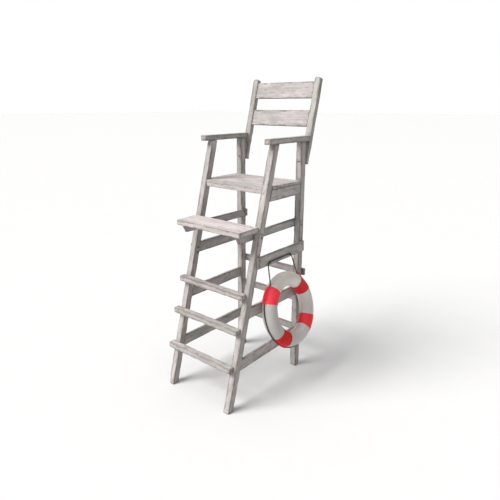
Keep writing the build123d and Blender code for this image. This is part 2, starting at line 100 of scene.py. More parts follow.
# ---------------------------------------------------------------- materials
class Shader:
    """One material. add() makes a node; a socket given as a value is linked to it."""

    def __init__(self, name):
        self.material = bpy.data.materials.new(name)
        self.material.use_nodes = True
        self.nodes = self.material.node_tree.nodes
        self.links = self.material.node_tree.links
        self.surface = self.nodes["Principled BSDF"]

    def set(self, node, values):
        for key, value in values.items():
            socket = node.inputs[key]
            if isinstance(value, bpy.types.NodeSocket):
                self.links.new(value, socket)
            else:
                socket.default_value = value

    def add(self, kind, inputs=(), **settings):
        node = self.nodes.new("ShaderNode" + kind)
        for key, value in settings.items():
            setattr(node, key, value)
        self.set(node, dict(inputs))
        return node

    def finish(self, **values):
        self.set(self.surface, {key.replace("_", " "): value for key, value in values.items()})
        return self.material

    def attribute(self, name, output="Fac"):
        return self.add("Attribute", attribute_name=name).outputs[output]

    def scaled(self, vector, scale, shift=(0, 0, 0)):
        return self.add("Mapping", {"Vector": vector, "Scale": scale, "Location": shift}).outputs[0]

    def noise(self, vector, scale, detail=3.0, rough=0.5, warp=0.0):
        values = {"Vector": vector, "Scale": scale, "Detail": detail, "Roughness": rough}
        values["Distortion"] = warp
        return self.add("TexNoise", values).outputs["Fac"]

    def ramp(self, value, *stops):
        """stops: (place, grey or colour)."""
        node = self.add("ValToRGB", {"Fac": value})
        points = node.color_ramp.elements
        while len(points) < len(stops):
            points.new(0.5)
        for point, (place, colour) in zip(points, stops):
            point.position = place
            point.color = (colour,) * 3 + (1,) if isinstance(colour, (int, float)) else (*colour, 1)
        return node.outputs[0]

    def mix(self, share, a, b, how="MIX"):
        node = self.add("Mix", data_type="RGBA", blend_type=how)
        for socket, value in zip((node.inputs[0], node.inputs[6], node.inputs[7]), (share, a, b)):
            if isinstance(value, bpy.types.NodeSocket):
                self.links.new(value, socket)
            elif isinstance(value, tuple):
                socket.default_value = (*value, 1)
            else:
                socket.default_value = value
        return node.outputs[2]

    def maths(self, how, *values):
        node = self.add("Math", operation=how)
        for socket, value in zip(node.inputs, values):
            if isinstance(value, bpy.types.NodeSocket):
                self.links.new(value, socket)
            else:
                socket.default_value = value
        return node.outputs[0]

    def bump(self, height, distance, strength=1.0, before=None):
        values = {"Height": height, "Distance": distance, "Strength": strength}
        if before is not None:
            values["Normal"] = before
        return self.add("Bump", values).outputs[0]


def whitewashed_wood():
    """Thin old whitewash over grey softwood: rings, streaks, cracks, knots and worn edges.

    `grain` holds each timber's own coordinates, X along the grain; `wear` is 1 at bare edges;
    `tone` is how grey and weathered a timber is, 0 being freshly washed; and `under` is 1 on
    surfaces that face the ground, which are painted darker there as painted shade.
    """
    s = Shader("whitewashed_wood")
    grain = s.attribute("grain", "Vector")
    wear = s.attribute("wear")
    tone = s.attribute("tone")
    under = s.attribute("under")

    patches = s.noise(s.scaled(grain, (2.2, 6.0, 6.0)), 1.6, 4.0, 0.6)
    wash = s.ramp(
        patches,
        (0.30, (0.37, 0.365, 0.345)),
        (0.42, (0.47, 0.445, 0.445)),
        (0.52, (0.55, 0.49, 0.505)),
        (0.62, (0.57, 0.535, 0.53)),
        (0.72, (0.62, 0.61, 0.595)),
    )
    mottle = s.noise(s.scaled(grain, (8.0, 17.0, 17.0), (4.0, 1.0, 6.0)), 1.0, 4.0, 0.65)
    wash = s.mix(s.ramp(mottle, (0.37, 0.85), (0.50, 0.0)), wash, (0.35, 0.355, 0.325))
    wash = s.mix(s.ramp(mottle, (0.53, 0.0), (0.66, 0.85)), wash, (0.71, 0.61, 0.62))
    wash = s.mix(s.ramp(tone, (0.0, 0.6), (0.2, 0.0)), wash, (0.74, 0.64, 0.65))
    wash = s.mix(s.ramp(tone, (0.2, 0.0), (1.0, 0.6)), wash, (0.40, 0.405, 0.375))
    streaks = s.noise(s.scaled(grain, (1.6, 38.0, 38.0)), 1.0, 5.0, 0.65, 0.4)
    wash = s.mix(s.ramp(streaks, (0.40, 0.45), (0.58, 0.0)), wash, (0.33, 0.305, 0.295))
    fine = s.noise(s.scaled(grain, (5.0, 260.0, 260.0)), 1.0, 3.0, 0.6)
    wash = s.mix(s.ramp(fine, (0.35, 0.35), (0.55, 0.0)), wash, (0.34, 0.315, 0.30))

    # growth rings show at the sawn ends and faintly through the wash
    rings = s.add(
        "TexWave",
        {"Vector": s.scaled(grain, (0.25, 1.0, 1.0)), "Scale": 55.0, "Distortion": 6.0, "Detail": 3.0,
         "Detail Scale": 1.2, "Detail Roughness": 0.6},
        wave_type="RINGS",
        rings_direction="X",
    ).outputs["Fac"]
    wood = s.mix(rings, (0.17, 0.145, 0.13), (0.29, 0.255, 0.23))
    wood = s.mix(s.ramp(patches, (0.4, 0.0), (0.7, 0.5)), wood, (0.27, 0.26, 0.235))
    wash = s.mix(s.ramp(rings, (0.0, 0.16), (0.45, 0.0)), wash, (0.45, 0.41, 0.39))

    # knots: dark eyes stretched along the grain
    stretched = s.scaled(grain, (3.4, 12.0, 12.0))
    cells = s.add("TexVoronoi", {"Vector": stretched, "Scale": 1.0, "Randomness": 1.0})
    knot = s.ramp(cells.outputs["Distance"], (0.07, 1.0), (0.15, 0.0))
    wash = s.mix(s.maths("MULTIPLY", knot, 0.65), wash, (0.33, 0.265, 0.225))

    # long drying cracks
    crack_field = s.noise(s.scaled(grain, (1.1, 70.0, 70.0), (3.1, 0.7, 1.9)), 1.0, 2.0, 0.5, 0.2)
    crack_line = s.ramp(crack_field, (0.485, 0.0), (0.5, 1.0), (0.515, 0.0))
    crack_place = s.ramp(s.noise(s.scaled(grain, (4.0, 14.0, 14.0)), 1.0, 2.0), (0.56, 0.0), (0.64, 1.0))
    crack = s.maths("MULTIPLY", crack_line, crack_place)

    # where the wash has gone: worn edges, and flakes along the grain
    flake_field = s.noise(s.scaled(grain, (17.0, 58.0, 58.0)), 1.0, 4.0, 0.7, 0.3)
    worn = s.maths("ADD", s.maths("MULTIPLY", wear, 0.50), s.maths("MULTIPLY", flake_field, 0.90))
    worn = s.maths("ADD", worn, s.ramp(tone, (0.0, 0.0), (0.35, 0.06)))
    bare = s.ramp(worn, (0.61, 0.0), (0.68, 1.0))
    colour = s.mix(s.maths("MULTIPLY", bare, 0.85), wash, wood)
    colour = s.mix(s.maths("MULTIPLY", crack, 0.75), colour, (0.13, 0.11, 0.10))

    grime = s.noise(s.scaled(grain, (3.0, 11.0, 11.0), (7.0, 2.0, 5.0)), 1.0, 4.0, 0.6)
    grime = s.ramp(grime, (0.42, 0.0), (0.75, 0.5))
    colour = s.mix(grime, colour, (0.31, 0.295, 0.27))
    # painted shade: faces towards the ground are painted darker
    colour = s.mix(s.maths("MULTIPLY", under, 0.6), colour, (0.115, 0.105, 0.095))

    ridges = s.maths("ADD", s.maths("MULTIPLY", streaks, 0.9), s.maths("MULTIPLY", fine, 0.35))
    ridges = s.maths("SUBTRACT", ridges, s.maths("MULTIPLY", crack, 1.2))
    ridges = s.maths("SUBTRACT", ridges, s.maths("MULTIPLY", bare, 0.25))
    return s.finish(
        Base_Color=colour,
        Roughness=s.ramp(bare, (0.0, 0.74), (1.0, 0.92)),
        Normal=s.bump(ridges, 0.0012, 0.8),
        Specular_IOR_Level=0.3,
    )


def dull_steel():
    """Old galvanised steel with rust in patches."""
    s = Shader("dull_steel")
    place = s.add("TexCoord").outputs["Object"]
    blotch = s.noise(place, 90.0, 5.0, 0.65)
    rust = s.ramp(s.noise(place, 160.0, 4.0, 0.7, 0.5), (0.44, 0.0), (0.60, 1.0))
    steel = s.mix(blotch, (0.20, 0.19, 0.185), (0.42, 0.41, 0.40))
    colour = s.mix(rust, steel, s.mix(blotch, (0.10, 0.062, 0.045), (0.20, 0.125, 0.085)))
    metal = s.ramp(rust, (0.2, 0.85), (0.8, 0.05))
    height = s.noise(place, 700.0, 3.0, 0.6)
    return s.finish(
        Base_Color=colour,
        Metallic=metal,
        Roughness=s.ramp(rust, (0.0, 0.46), (1.0, 0.86)),
        Normal=s.bump(height, 0.0004, 0.6),
    )


def ring_plastic():
    """Sun-aged off-white shell: faint yellowing, scuffs and a slight orange peel.

    `painted_top_light` is 1 on the top of the ring, which is painted lighter there as painted light from
    overhead; `painted_front_shade` is 1 at its front end, which is painted darker as painted shade; and
    `seam` is 1 in the parting groove of the mould.
    """
    s = Shader("ring_plastic")
    place = s.add("TexCoord").outputs["Object"]
    soft = s.noise(place, 5.0, 3.0, 0.5)
    colour = s.mix(soft, (0.57, 0.53, 0.50), (0.61, 0.565, 0.56))
    # painted light: the top of the shell is painted lighter
    colour = s.mix(s.attribute("painted_top_light"), colour, (0.83, 0.765, 0.73))
    # painted shade: the front end of the shell is painted darker
    colour = s.mix(s.maths("MULTIPLY", s.attribute("painted_front_shade"), 0.6), colour, (0.40, 0.385, 0.365))
    colour = s.mix(s.ramp(s.noise(place, 2.6, 2.0), (0.45, 0.0), (0.75, 0.5)), colour, (0.56, 0.545, 0.43))
    scuff_field = s.noise(s.scaled(place, (60.0, 18.0, 25.0)), 1.0, 6.0, 0.7, 0.6)
    scuff = s.ramp(scuff_field, (0.60, 0.0), (0.68, 1.0))
    colour = s.mix(s.maths("MULTIPLY", scuff, 0.30), colour, (0.42, 0.39, 0.35))
    speck = s.ramp(s.noise(place, 230.0, 2.0, 0.5), (0.70, 0.0), (0.75, 0.6))
    colour = s.mix(speck, colour, (0.30, 0.27, 0.23))
    seam = s.attribute("seam")
    colour = s.mix(s.maths("MULTIPLY", seam, 0.55), colour, (0.34, 0.32, 0.29))
    gloss = s.ramp(s.noise(place, 30.0, 4.0, 0.6), (0.3, 0.27), (0.7, 0.40))
    roughness = s.maths("ADD", gloss, s.maths("MULTIPLY", scuff, 0.2))
    peel = s.noise(place, 420.0, 2.0, 0.5)
    return s.finish(
        Base_Color=colour,
        Roughness=roughness,
        Normal=s.bump(peel, 0.0004, 0.35, s.bump(scuff, 0.0003, 0.6)),
        Specular_IOR_Level=0.4,
        Coat_Weight=0.08,
        Coat_Roughness=0.28,
    )


def band_cloth():
    """Coated red cloth: a fine weave, painted shade beside the ropes under it, and scuffed hems.

    `weave` runs round the tube, along the ring; `hem` is 1 at the doubled edges, `painted_crease_shade` is
    1 along the line beside a rope underneath, painted darker there as painted shade; and
    `painted_band_light` is how much painted light brightens a band.
    """
    s = Shader("red_band")
    weave = s.attribute("weave", "Vector")
    hem = s.attribute("hem")
    soft = s.noise(weave, 14.0, 4.0, 0.6)
    colour = s.mix(soft, (0.57, 0.006, 0.007), (0.72, 0.012, 0.015))
    # painted light: a band's own share brightens its whole colour
    colour = s.mix(s.attribute("painted_band_light"), colour, (1.0, 0.065, 0.090))
    fade = s.ramp(s.noise(weave, 5.0, 3.0, 0.55, 0.3), (0.45, 0.0), (0.75, 0.5))
    colour = s.mix(s.maths("MULTIPLY", fade, 0.6), colour, (0.90, 0.025, 0.026))
    scuff = s.ramp(s.noise(weave, 60.0, 5.0, 0.7, 0.5), (0.60, 0.0), (0.70, 1.0))
    worn = s.maths("MULTIPLY", scuff, s.maths("ADD", 0.12, s.maths("MULTIPLY", hem, 0.5)))
    colour = s.mix(worn, colour, (0.74, 0.42, 0.36))
    # painted shade: a dark line beside each rope under the cloth
    crease_shade_share = s.maths("MULTIPLY", s.attribute("painted_crease_shade"), s.ramp(soft, (0.3, 0.45), (0.6, 0.85)))
    colour = s.mix(crease_shade_share, colour, (0.17, 0.016, 0.022))
    threads = []
    for axis in ("X", "Y"):
        wave = s.add("TexWave", {"Vector": weave, "Scale": 200.0}, wave_type="BANDS", bands_direction=axis)
        threads.append(wave.outputs["Fac"])
    cloth = s.maths("MULTIPLY", *threads)
    colour = s.mix(s.maths("MULTIPLY", s.maths("SUBTRACT", 1.0, cloth), 0.18), colour, (0.36, 0.012, 0.012))
    return s.finish(
        Base_Color=colour,
        Roughness=s.ramp(soft, (0.3, 0.36), (0.7, 0.48)),
        Normal=s.bump(cloth, 0.0003, 0.5),
        Specular_IOR_Level=0.14,
        Coat_Weight=0.03,
        Coat_Roughness=0.35,
    )


def stitch_thread():
    s = Shader("stitch_thread")
    place = s.add("TexCoord").outputs["Object"]
    twist = s.noise(place, 900.0, 2.0)
    colour = s.mix(twist, (0.50, 0.05, 0.05), (0.78, 0.16, 0.14))
    return s.finish(Base_Color=colour, Roughness=0.8, Normal=s.bump(twist, 0.0003, 0.6))


def dark_rope():
    """Tarred brown-black twisted rope with fine fibres along its strands."""
    s = Shader("dark_rope")
    strand = s.attribute("strand", "Vector")
    fibres = s.noise(s.scaled(strand, (60.0, 2600.0, 2600.0)), 1.0, 3.0, 0.6)
    soft = s.noise(strand, 30.0, 3.0, 0.6)
    colour = s.mix(soft, (0.022, 0.017, 0.014), (0.060, 0.045, 0.036))
    colour = s.mix(s.ramp(fibres, (0.5, 0.0), (0.75, 0.7)), colour, (0.13, 0.10, 0.08))
    normal = s.bump(fibres, 0.0004, 0.8)
    return s.finish(Base_Color=colour, Roughness=0.86, Normal=normal, Sheen_Weight=0.12)


WOOD = whitewashed_wood()
STEEL = dull_steel()
SHELL = ring_plastic()
BAND = band_cloth()
THREAD = stitch_thread()
ROPE = dark_rope()


# ---------------------------------------------------------------- mesh helpers
def make_piece(name, points, faces, material, body, replaced=(), attributes=()):
    """A mesh piece, smooth-shaded, with its attributes, riding on its body."""
    mesh = bpy.data.meshes.new(name)
    mesh.from_pydata(np.asarray(points).tolist(), [], [list(map(int, f)) for f in faces])
    mesh.polygons.foreach_set("use_smooth", [True] * len(mesh.polygons))
    for key, values in dict(attributes).items():
        values = np.asarray(values, np.float32)
        kind, field = ("FLOAT_VECTOR", "vector") if values.ndim == 2 else ("FLOAT", "value")
        mesh.attributes.new(key, kind, "POINT").data.foreach_set(field, values.ravel())
    mesh.materials.append(material)
    mesh.validate()
    piece = bpy.data.objects.new(name, mesh)
    bpy.context.scene.collection.objects.link(piece)
    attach(piece, body)
    if replaced:
        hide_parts(*replaced)
    return piece


def node_points(node):
    """The node's own points, in the row frame."""
    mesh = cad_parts[node].data
    flat = np.zeros(len(mesh.vertices) * 3, np.float32)
    mesh.vertices.foreach_get("co", flat)
    return flat.reshape(-1, 3).astype(float)


def ripple(points, reach, rng, waves=9):
    """Smooth noise of about unit height; `reach` is the size of its lumps along each axis."""
    total = np.zeros(len(points))
    for _ in range(waves):
        pull = rng.normal(size=3) / np.asarray(reach) * 2.2
        total += np.sin(points @ pull + rng.uniform(0, 2 * math.pi))
    return total / math.sqrt(waves / 2)


def grid_quads(rows, columns, wrap_rows=False, wrap_columns=False):
    """Faces of a grid of points, row by row."""
    r = np.arange(rows if wrap_rows else rows - 1)
    c = np.arange(columns if wrap_columns else columns - 1)
    r, c = (x.ravel() for x in np.meshgrid(r, c, indexing="ij"))
    nr, nc = (r + 1) % rows, (c + 1) % columns
    return np.stack([r * columns + c, nr * columns + c, nr * columns + nc, r * columns + nc], 1)


# ---------------------------------------------------------------- cords
RING_NODE_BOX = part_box("ring_foam_core")
RING_CENTRE = np.array((RING_NODE_BOX[0] + RING_NODE_BOX[1]) / 2)
RING_AXIS = np.array((math.cos(RING_TILT), 0.0, math.sin(RING_TILT)))
RING_UP = np.array((-math.sin(RING_TILT), 0.0, math.cos(RING_TILT)))


def ring_point(angle, radius, beside=0.0):
    """A point of the ring: angle from the rear, turning upward first; beside is outward."""
    flat = RING_CENTRE + radius * (math.cos(angle) * BACK + math.sin(angle) * RING_UP)
    return flat + beside * RING_AXIS


def ring_route(start, sweep, radius, beside, steps):
    """Control points of a circle's arc; the middle ones stand out so that the spline is round."""
    step = sweep / steps
    out = radius / math.cos(step / 2)
    points = [ring_point(start, radius, beside)]
    points += [ring_point(start + (n + 0.5) * step, out, beside) for n in range(steps)]
    return points + [ring_point(start + sweep, radius, beside)]


def spline_points(route):
    """Points along the smooth spline that has the route as its control points."""
    curve = bpy.data.curves.new("route", "CURVE")
    curve.dimensions = "3D"
    spline = curve.splines.new("NURBS")
    spline.points.add(len(route) - 1)
    for point, place in zip(spline.points, route):
        point.co = (*place, 1)
    spline.order_u = 3
    spline.use_endpoint_u = True
    spline.resolution_u = 24
    bare = bpy.data.objects.new("route", curve)
    mesh = bpy.data.meshes.new_from_object(bare)
    line = np.array([v.co for v in mesh.vertices])
    bpy.data.meshes.remove(mesh)
    bpy.data.curves.remove(curve)
    return line


def evenly(line, step):
    """The line again, with points about `step` apart."""
    runs = np.linalg.norm(np.diff(line, axis=0), axis=1)
    along = np.concatenate([[0], np.cumsum(runs)])
    at = np.linspace(0, along[-1], max(3, round(along[-1] / step) + 1))
    return np.stack([np.interp(at, along, line[:, k]) for k in range(3)], 1), along[-1]


def carried_frames(line):
    """Two directions square to the line at each point, carried along without twist."""
    ahead = np.gradient(line, axis=0)
    ahead /= np.linalg.norm(ahead, axis=1)[:, None]
    side = np.cross(ahead[0], UP if abs(ahead[0] @ UP) < 0.9 else ACROSS)
    sides = []
    for direction in ahead:
        side = side - direction * (side @ direction)
        side = side / np.linalg.norm(side)
        sides.append(side)
    sides = np.array(sides)
    return sides, np.cross(ahead, sides)


def rope(name, route, body, node):
    """Three strands twisted together along the route, one closed tube each."""
    strands, around, pitch = 3, 10, 7 * ROPE_R
    row_step, fibre_step, strand_shift = 0.0022, 0.0016, 0.1
    line, length = evenly(spline_points(route), row_step)
    side, other = carried_frames(line)
    along = np.linspace(0, length, len(line))
    strand_r = ROPE_R * 0.50
    points, faces, coords = [], [], []
    for n in range(strands):
        turn = 2 * math.pi * (along / pitch + n / strands)
        offset = side * np.cos(turn)[:, None] + other * np.sin(turn)[:, None]
        middle = line + offset * (ROPE_R - strand_r)
        across = -side * np.sin(turn)[:, None] + other * np.cos(turn)[:, None]
        start = len(points) * len(line) * around
        rows = []
        for k in range(around):
            a = 2 * math.pi * k / around
            rows.append(middle + strand_r * (math.cos(a) * offset + math.sin(a) * across))
        tube = np.stack(rows, 1).reshape(-1, 3)
        round_strand = np.tile(np.arange(around) * fibre_step, len(along))
        points.append(tube)
        coords.append(
            np.stack([np.repeat(along, around), round_strand, np.full(len(tube), n * strand_shift)], 1)
        )
        faces += (grid_quads(len(line), around, wrap_columns=True)[:, ::-1] + start).tolist()
        faces.append([start + k for k in range(around)])
        last = start + (len(line) - 1) * around
        faces.append([last + k for k in reversed(range(around))])
    points = np.concatenate(points)
    attributes = {"strand": np.concatenate(coords)}
    piece = make_piece(name, points, faces, ROPE, body, [node], attributes)


def make_ropes():
    # round the foot of the ring, from under one upper band to under the other
    first = BAND_ANGLES[1] + BAND_SPAN / 2 - ROPE_TAIL
    last = 2 * math.pi + BAND_ANGLES[0] - BAND_SPAN / 2 + ROPE_TAIL
    grab = ring_route(first, last - first, GRAB_LINE, 0.0, 20)
    rope("grab_rope", grab, "ring_buoy", "grab_line")

    low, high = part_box("hanger_bight")
    x, z = (low.x + high.x) / 2, (low.z + high.z) / 2
    middle = (low.y + high.y) / 2
    sag, from_peg = 0.0006, 0.06
    ys = (low.y, low.y + from_peg, middle, high.y - from_peg, high.y)
    bight = [(x, y, z - sag if y == middle else z) for y in ys]
    rope("hanging_rope_bight", bight, "hanger", "hanger_bight")

    # each side: from its band's edge to a corner, up to another over the peg, then to the bight
    exit_run, below_peg = 0.0145, 0.06
    for side, band, outward, over_y, end_y in (
        ("left", 1, -1, -0.1450, low.y),
        ("right", 0, 1, 0.1598, high.y),
    ):
        edge = BAND_ANGLES[band] + outward * BAND_SPAN / 2
        route = ring_route(edge - outward * ROPE_TAIL, outward * ROPE_TAIL, HANGER_LINE, HANGER_BESIDE, 3)
        ahead = -math.sin(edge) * BACK + math.cos(edge) * RING_UP
        corner = route[-1] + outward * exit_run * ahead
        over_peg = np.array((x, over_y, z))
        down = (corner - over_peg) / np.linalg.norm(corner - over_peg)
        route = route[:-1] + [corner, corner - exit_run * down, over_peg + below_peg * down]
        route += [over_peg, np.array((x, end_y, z))]
        rope(f"hanging_rope_{side}", route, "ring_buoy", f"hanger_drop_{side}")


make_ropes()


# ---------------------------------------------------------------- timbers
def corners_of(node, along, wide):
    """The eight corners of a timber that has six flat sides, by their place along, wide and through."""
    points = node_points(node)
    through = np.cross(along, wide)
    corners = np.empty((2, 2, 2, 3))
    for place in np.ndindex(2, 2, 2):
        a, w, t = (2 * n - 1 for n in place)
        corners[place] = points[np.argmax(points @ (0.1 * a * along + w * wide + t * through))]
    return corners


def square_corners_of(node, along, wide):
    """The corners of the tightest box round a node, in the directions given."""
    axes = np.array((along, wide, np.cross(along, wide)))
    reach = node_points(node) @ axes.T
    ends = np.array((reach.min(0), reach.max(0)))
    corners = np.empty((2, 2, 2, 3))
    for place in np.ndindex(2, 2, 2):
        corners[place] = np.array([ends[n, axis] for axis, n in enumerate(place)]) @ axes
    return corners


def lattice_lines(length, spacing, edge):
    """Places along one side of a timber, close together near its ends."""
    inner = max(1, round((length - 2 * edge) / spacing))
    middle = np.linspace(edge, length - edge, inner + 1)
    return np.concatenate([[0, 0.35 * edge], middle, [length - 0.35 * edge, length]])


def skin_lattice(lines):
    """The outer points of a lattice, and its outward quads."""
    counts = [len(x) for x in lines]
    index = np.indices(counts)
    outer = np.zeros(counts, bool)
    for axis, count in enumerate(counts):
        outer |= (index[axis] == 0) | (index[axis] == count - 1)
    ids = np.full(counts, -1)
    ids[outer] = np.arange(outer.sum())
    points = np.stack([lines[axis][index[axis][outer]] for axis in range(3)], 1)
    quads = []
    for axis in range(3):
        for end in (0, -1):
            sheet = np.take(ids, end, axis)
            quad = np.stack([sheet[:-1, :-1], sheet[1:, :-1], sheet[1:, 1:], sheet[:-1, 1:]], -1)
            quad = quad.reshape(-1, 4)
            quads.append(quad[:, ::-1] if (axis == 1) != (end == 0) else quad)
    return points, np.concatenate(quads)


def round_end(points, length, width, radius):
    """Bends the far end's two corners to an arc of this radius, seen square to the wide face."""
    u, v = points[:, 0], points[:, 1]
    du = u - (length - radius)
    dv = v - np.clip(v, radius, width - radius)
    here = (du > 0) & (dv != 0)
    shrink = np.maximum(np.abs(du[here]), np.abs(dv[here])) / np.hypot(du[here], dv[here])
    points[here, 0] = length - radius + du[here] * shrink
    points[here, 1] = v[here] - dv[here] + dv[here] * shrink


# how a timber weathers, in metres unless said
EDGE_EASE = 0.0026
EDGE_UNEVEN = (0.06, 0.03, 0.03)
CHIPS_PER_METRE = 9
CHIP_LENGTH = (0.008, 0.045)
CHIP_WIDTH = 0.011
CHIP_DEPTH = (0.0015, 0.0065)
END_CHIP_SHARE = 0.22
GRAIN_LUMPS, GRAIN_DEPTH = (0.16, 0.008, 0.008), 0.00028
BOW_LUMPS, BOW_DEPTH = (0.5, 0.2, 0.2), 0.00022
WEAR_WIDTH, WEAR_AT_EDGE = 0.0085, 0.72
CHIP_WEAR, CHIP_WEAR_WIDTH = 55, 0.010
END_WEAR, END_WEAR_WIDTH = 0.12, 0.004
FACE_WEAR, FACE_WEAR_LUMPS = 0.10, (0.09, 0.02, 0.02)


def timber(node, along, wide, square=False, corner=0.0, worn=1.0, grey=None):
    """A weathered timber in the CAD node's own place: eased and chipped edges, a raised grain."""
    rng = np.random.default_rng(sum(ord(c) * (n + 7) for n, c in enumerate(node)))
    corners = (square_corners_of if square else corners_of)(node, along, wide)
    size = np.array(
        [np.linalg.norm(np.diff(corners, axis=axis), axis=-1).mean() for axis in range(3)]
    )
    lines = [lattice_lines(side, gap, 0.006) for side, gap in zip(size, (0.009, 0.0075, 0.0075))]
    flat, quads = skin_lattice(lines)

    # how far the edges are eased, everywhere and at single chips
    ease = EDGE_EASE * worn * (1 + 0.35 * ripple(flat, EDGE_UNEVEN, rng))
    chips = max(4, round(CHIPS_PER_METRE * worn * size[0]))
    chip = np.zeros(len(flat))
    for _ in range(chips):
        place = np.array([rng.uniform(0, size[0]), size[1] * rng.integers(2), size[2] * rng.integers(2)])
        if rng.random() < END_CHIP_SHARE:
            place[0] = size[0] * rng.integers(2)
        reach = np.array([rng.uniform(*CHIP_LENGTH), CHIP_WIDTH, CHIP_WIDTH])
        chip += rng.uniform(*CHIP_DEPTH) * worn * np.exp(-(((flat - place) / reach) ** 2).sum(1))
    radius = np.clip(ease + chip, 0.0008, 0.42 * size.min())[:, None]

    inner = np.clip(flat, radius, size - radius)
    away = flat - inner
    away /= np.linalg.norm(away, axis=1)[:, None]
    grain_height = ripple(flat, GRAIN_LUMPS, rng)
    bow = ripple(flat, BOW_LUMPS, rng)
    sunk = GRAIN_DEPTH * np.clip(grain_height + 1, 0, 3) + BOW_DEPTH * np.clip(bow + 1, 0, 3)
    place = inner + away * (radius - sunk[:, None])
    if corner:
        round_end(place, size[0], size[1], corner)

    # from the timber's own square coordinates to its place on the chair
    share = place / size
    final = np.zeros_like(place)
    for a, b, c in np.ndindex(2, 2, 2):
        weight = np.ones(len(place))
        for axis, n in enumerate((a, b, c)):
            weight *= share[:, axis] if n else 1 - share[:, axis]
        final += weight[:, None] * corners[a, b, c]

    to_faces = np.sort(np.minimum(flat, size - flat), axis=1)
    wear = WEAR_AT_EDGE * min(1, worn) * np.exp(-((to_faces[:, 1] / WEAR_WIDTH) ** 1.4))
    wear += CHIP_WEAR * chip * np.exp(-to_faces[:, 1] / CHIP_WEAR_WIDTH)
    wear += FACE_WEAR * ripple(flat, FACE_WEAR_LUMPS, rng)
    to_end = np.minimum(flat[:, 0], size[0] - flat[:, 0])
    wear = np.clip(wear + END_WEAR * np.exp(-to_end / END_WEAR_WIDTH), 0, 1)
    # the tree's middle lies beside the timber, and each timber is cut from another place
    start = rng.uniform(0, 20)
    pith = np.array([start, *(rng.choice((-1, 1), 2) * rng.uniform(0.03, 0.09, 2) - size[1:] / 2)])
    down = -(away @ np.array((along, wide, np.cross(along, wide))))[:, 2]
    attributes = {
        "grain": flat + pith,
        "wear": wear,
        "tone": np.full(len(flat), rng.uniform(0, 1) if grey is None else grey),
        # painted shade on the faces towards the ground
        "under": np.clip((down - 0.3) / 0.6, 0, 1),
    }
    make_piece(f"wood_{node}", final, quads, WOOD, "chair", [node], attributes)


RUNG_GREY = {"lower": 0.7, "middle": 1.0, "upper": 0.4}


def make_chair():
    for side in SIDES:
        timber(f"front_leg_{side}", LEG_UP, ACROSS, worn=1.2, grey=0.3)
        timber(f"rear_leg_{side}", UP, ACROSS)
        timber(f"footrest_bracket_{side}", BACK, UP)
        for rail in ("upper_side_rail", "middle_side_rail", "lower_side_rail", "seat_side_apron"):
            timber(f"{rail}_{side}", BACK, UP)
        timber(f"armrest_{side}", BACK, ACROSS, worn=1.2, grey=1.0)
        timber(f"back_post_{side}", POST_UP, ACROSS, square=True, corner=POST_CORNER, grey=1.0)
        timber(f"post_wedge_{side}", UP, ACROSS, worn=0.5)
    for height in ("lower", "middle", "upper"):
        timber(f"rear_rail_{height}", ACROSS, UP)
        timber(f"rung_{height}", ACROSS, UP, worn=1.5, grey=RUNG_GREY[height])
    for height in ("lower", "upper"):
        timber(f"back_slat_{height}", ACROSS, POST_UP, square=True, worn=0.8, grey=0.22)
    timber("footrest_board", ACROSS, BACK, worn=1.2, grey=0.0)
    for number in range(1, 6):
        timber(f"seat_board_{number}", ACROSS, BACK, worn=0.35, grey=0.16)
    for end in ("front", "rear"):
        timber(f"seat_{end}_apron", ACROSS, UP, worn=0.35, grey=0.1)


make_chair()


# ---------------------------------------------------------------- ring buoy
def torus_points(along_angles, section_angles, section_radius):
    """Points on the ring's tube; section angle 0 is the outer rim and grows outward of the chair."""
    points = np.empty((len(along_angles), len(section_angles), 3))
    for row, angle in enumerate(along_angles):
        out = math.cos(angle) * BACK + math.sin(angle) * RING_UP
        radius = section_radius[row] if np.ndim(section_radius) == 2 else section_radius
        across = np.cos(section_angles) * radius
        points[row] = RING_CENTRE + (TUBE_LINE + across)[:, None] * out
        points[row] += (np.sin(section_angles) * radius)[:, None] * RING_AXIS
    return points.reshape(-1, 3)


def make_shell():
    """The hollow shell, with the shallow parting groove of its mould round both rims."""
    rng = np.random.default_rng(11)
    groove = 0.0016 / RING_TUBE
    steps = np.linspace(0, 2 * math.pi, 72, endpoint=False)
    near = [middle + n * groove for middle in (0, math.pi) for n in (-1.6, -1, -0.5, 0.5, 1, 1.6)]
    section = np.unique(np.round(np.concatenate([steps, np.mod(near, 2 * math.pi)]), 6))
    along = np.linspace(0, 2 * math.pi, 240, endpoint=False)
    from_rim = np.abs((section + math.pi / 2) % math.pi - math.pi / 2) * RING_TUBE
    seam = np.exp(-((from_rim / 0.0016) ** 2))
    flat = torus_points(along, section, RING_TUBE)
    uneven = 0.00025 * np.clip(1 + ripple(flat, (0.09, 0.09, 0.09), rng), 0, 3)
    inside, groove_depth = 0.0001, 0.0007
    radius = RING_TUBE - inside - groove_depth * seam[None, :] - uneven.reshape(len(along), -1)
    points = torus_points(along, section, radius)
    faces = grid_quads(len(along), len(section), True, True)
    attributes = {
        "seam": np.tile(seam, len(along)),
        # painted light on the top of the shell
        "painted_top_light": np.repeat(np.clip(np.cos(along - math.radians(75)), 0, 1), len(section)),
        # painted shade on the front end of the shell
        "painted_front_shade": np.repeat(np.clip(np.cos(along - math.radians(190)), 0, 1), len(section)),
    }
    replaced = ["ring_shell", "ring_foam_core"]
    make_piece("ring_shell_skin", points, faces, SHELL, "ring_buoy", replaced, attributes)


# the bands' cloth, in metres
COVER = 0.0612  # from the middle of the tube to the inside of the cloth
BULGE, BULGE_WIDTH = 0.0102, 0.0072  # over a rope
CLOTH_T = 0.0013
HEM_WIDTH, HEM_T = 0.0070, 0.0006
STITCH_LINE, STITCH_PITCH = 0.0050, 0.0062
# width of the painted shade line beside a rope
SHADE_LINE_WIDTH = 0.0036
TAIL_EASE = 0.03  # radians over which a bulge dies away past the end of a rope
# each band's share of painted light; the upper front band gets the most, the lower front band none
BAND_PAINTED_LIGHT = (0.35, 1.0, 0.0, 0.75)


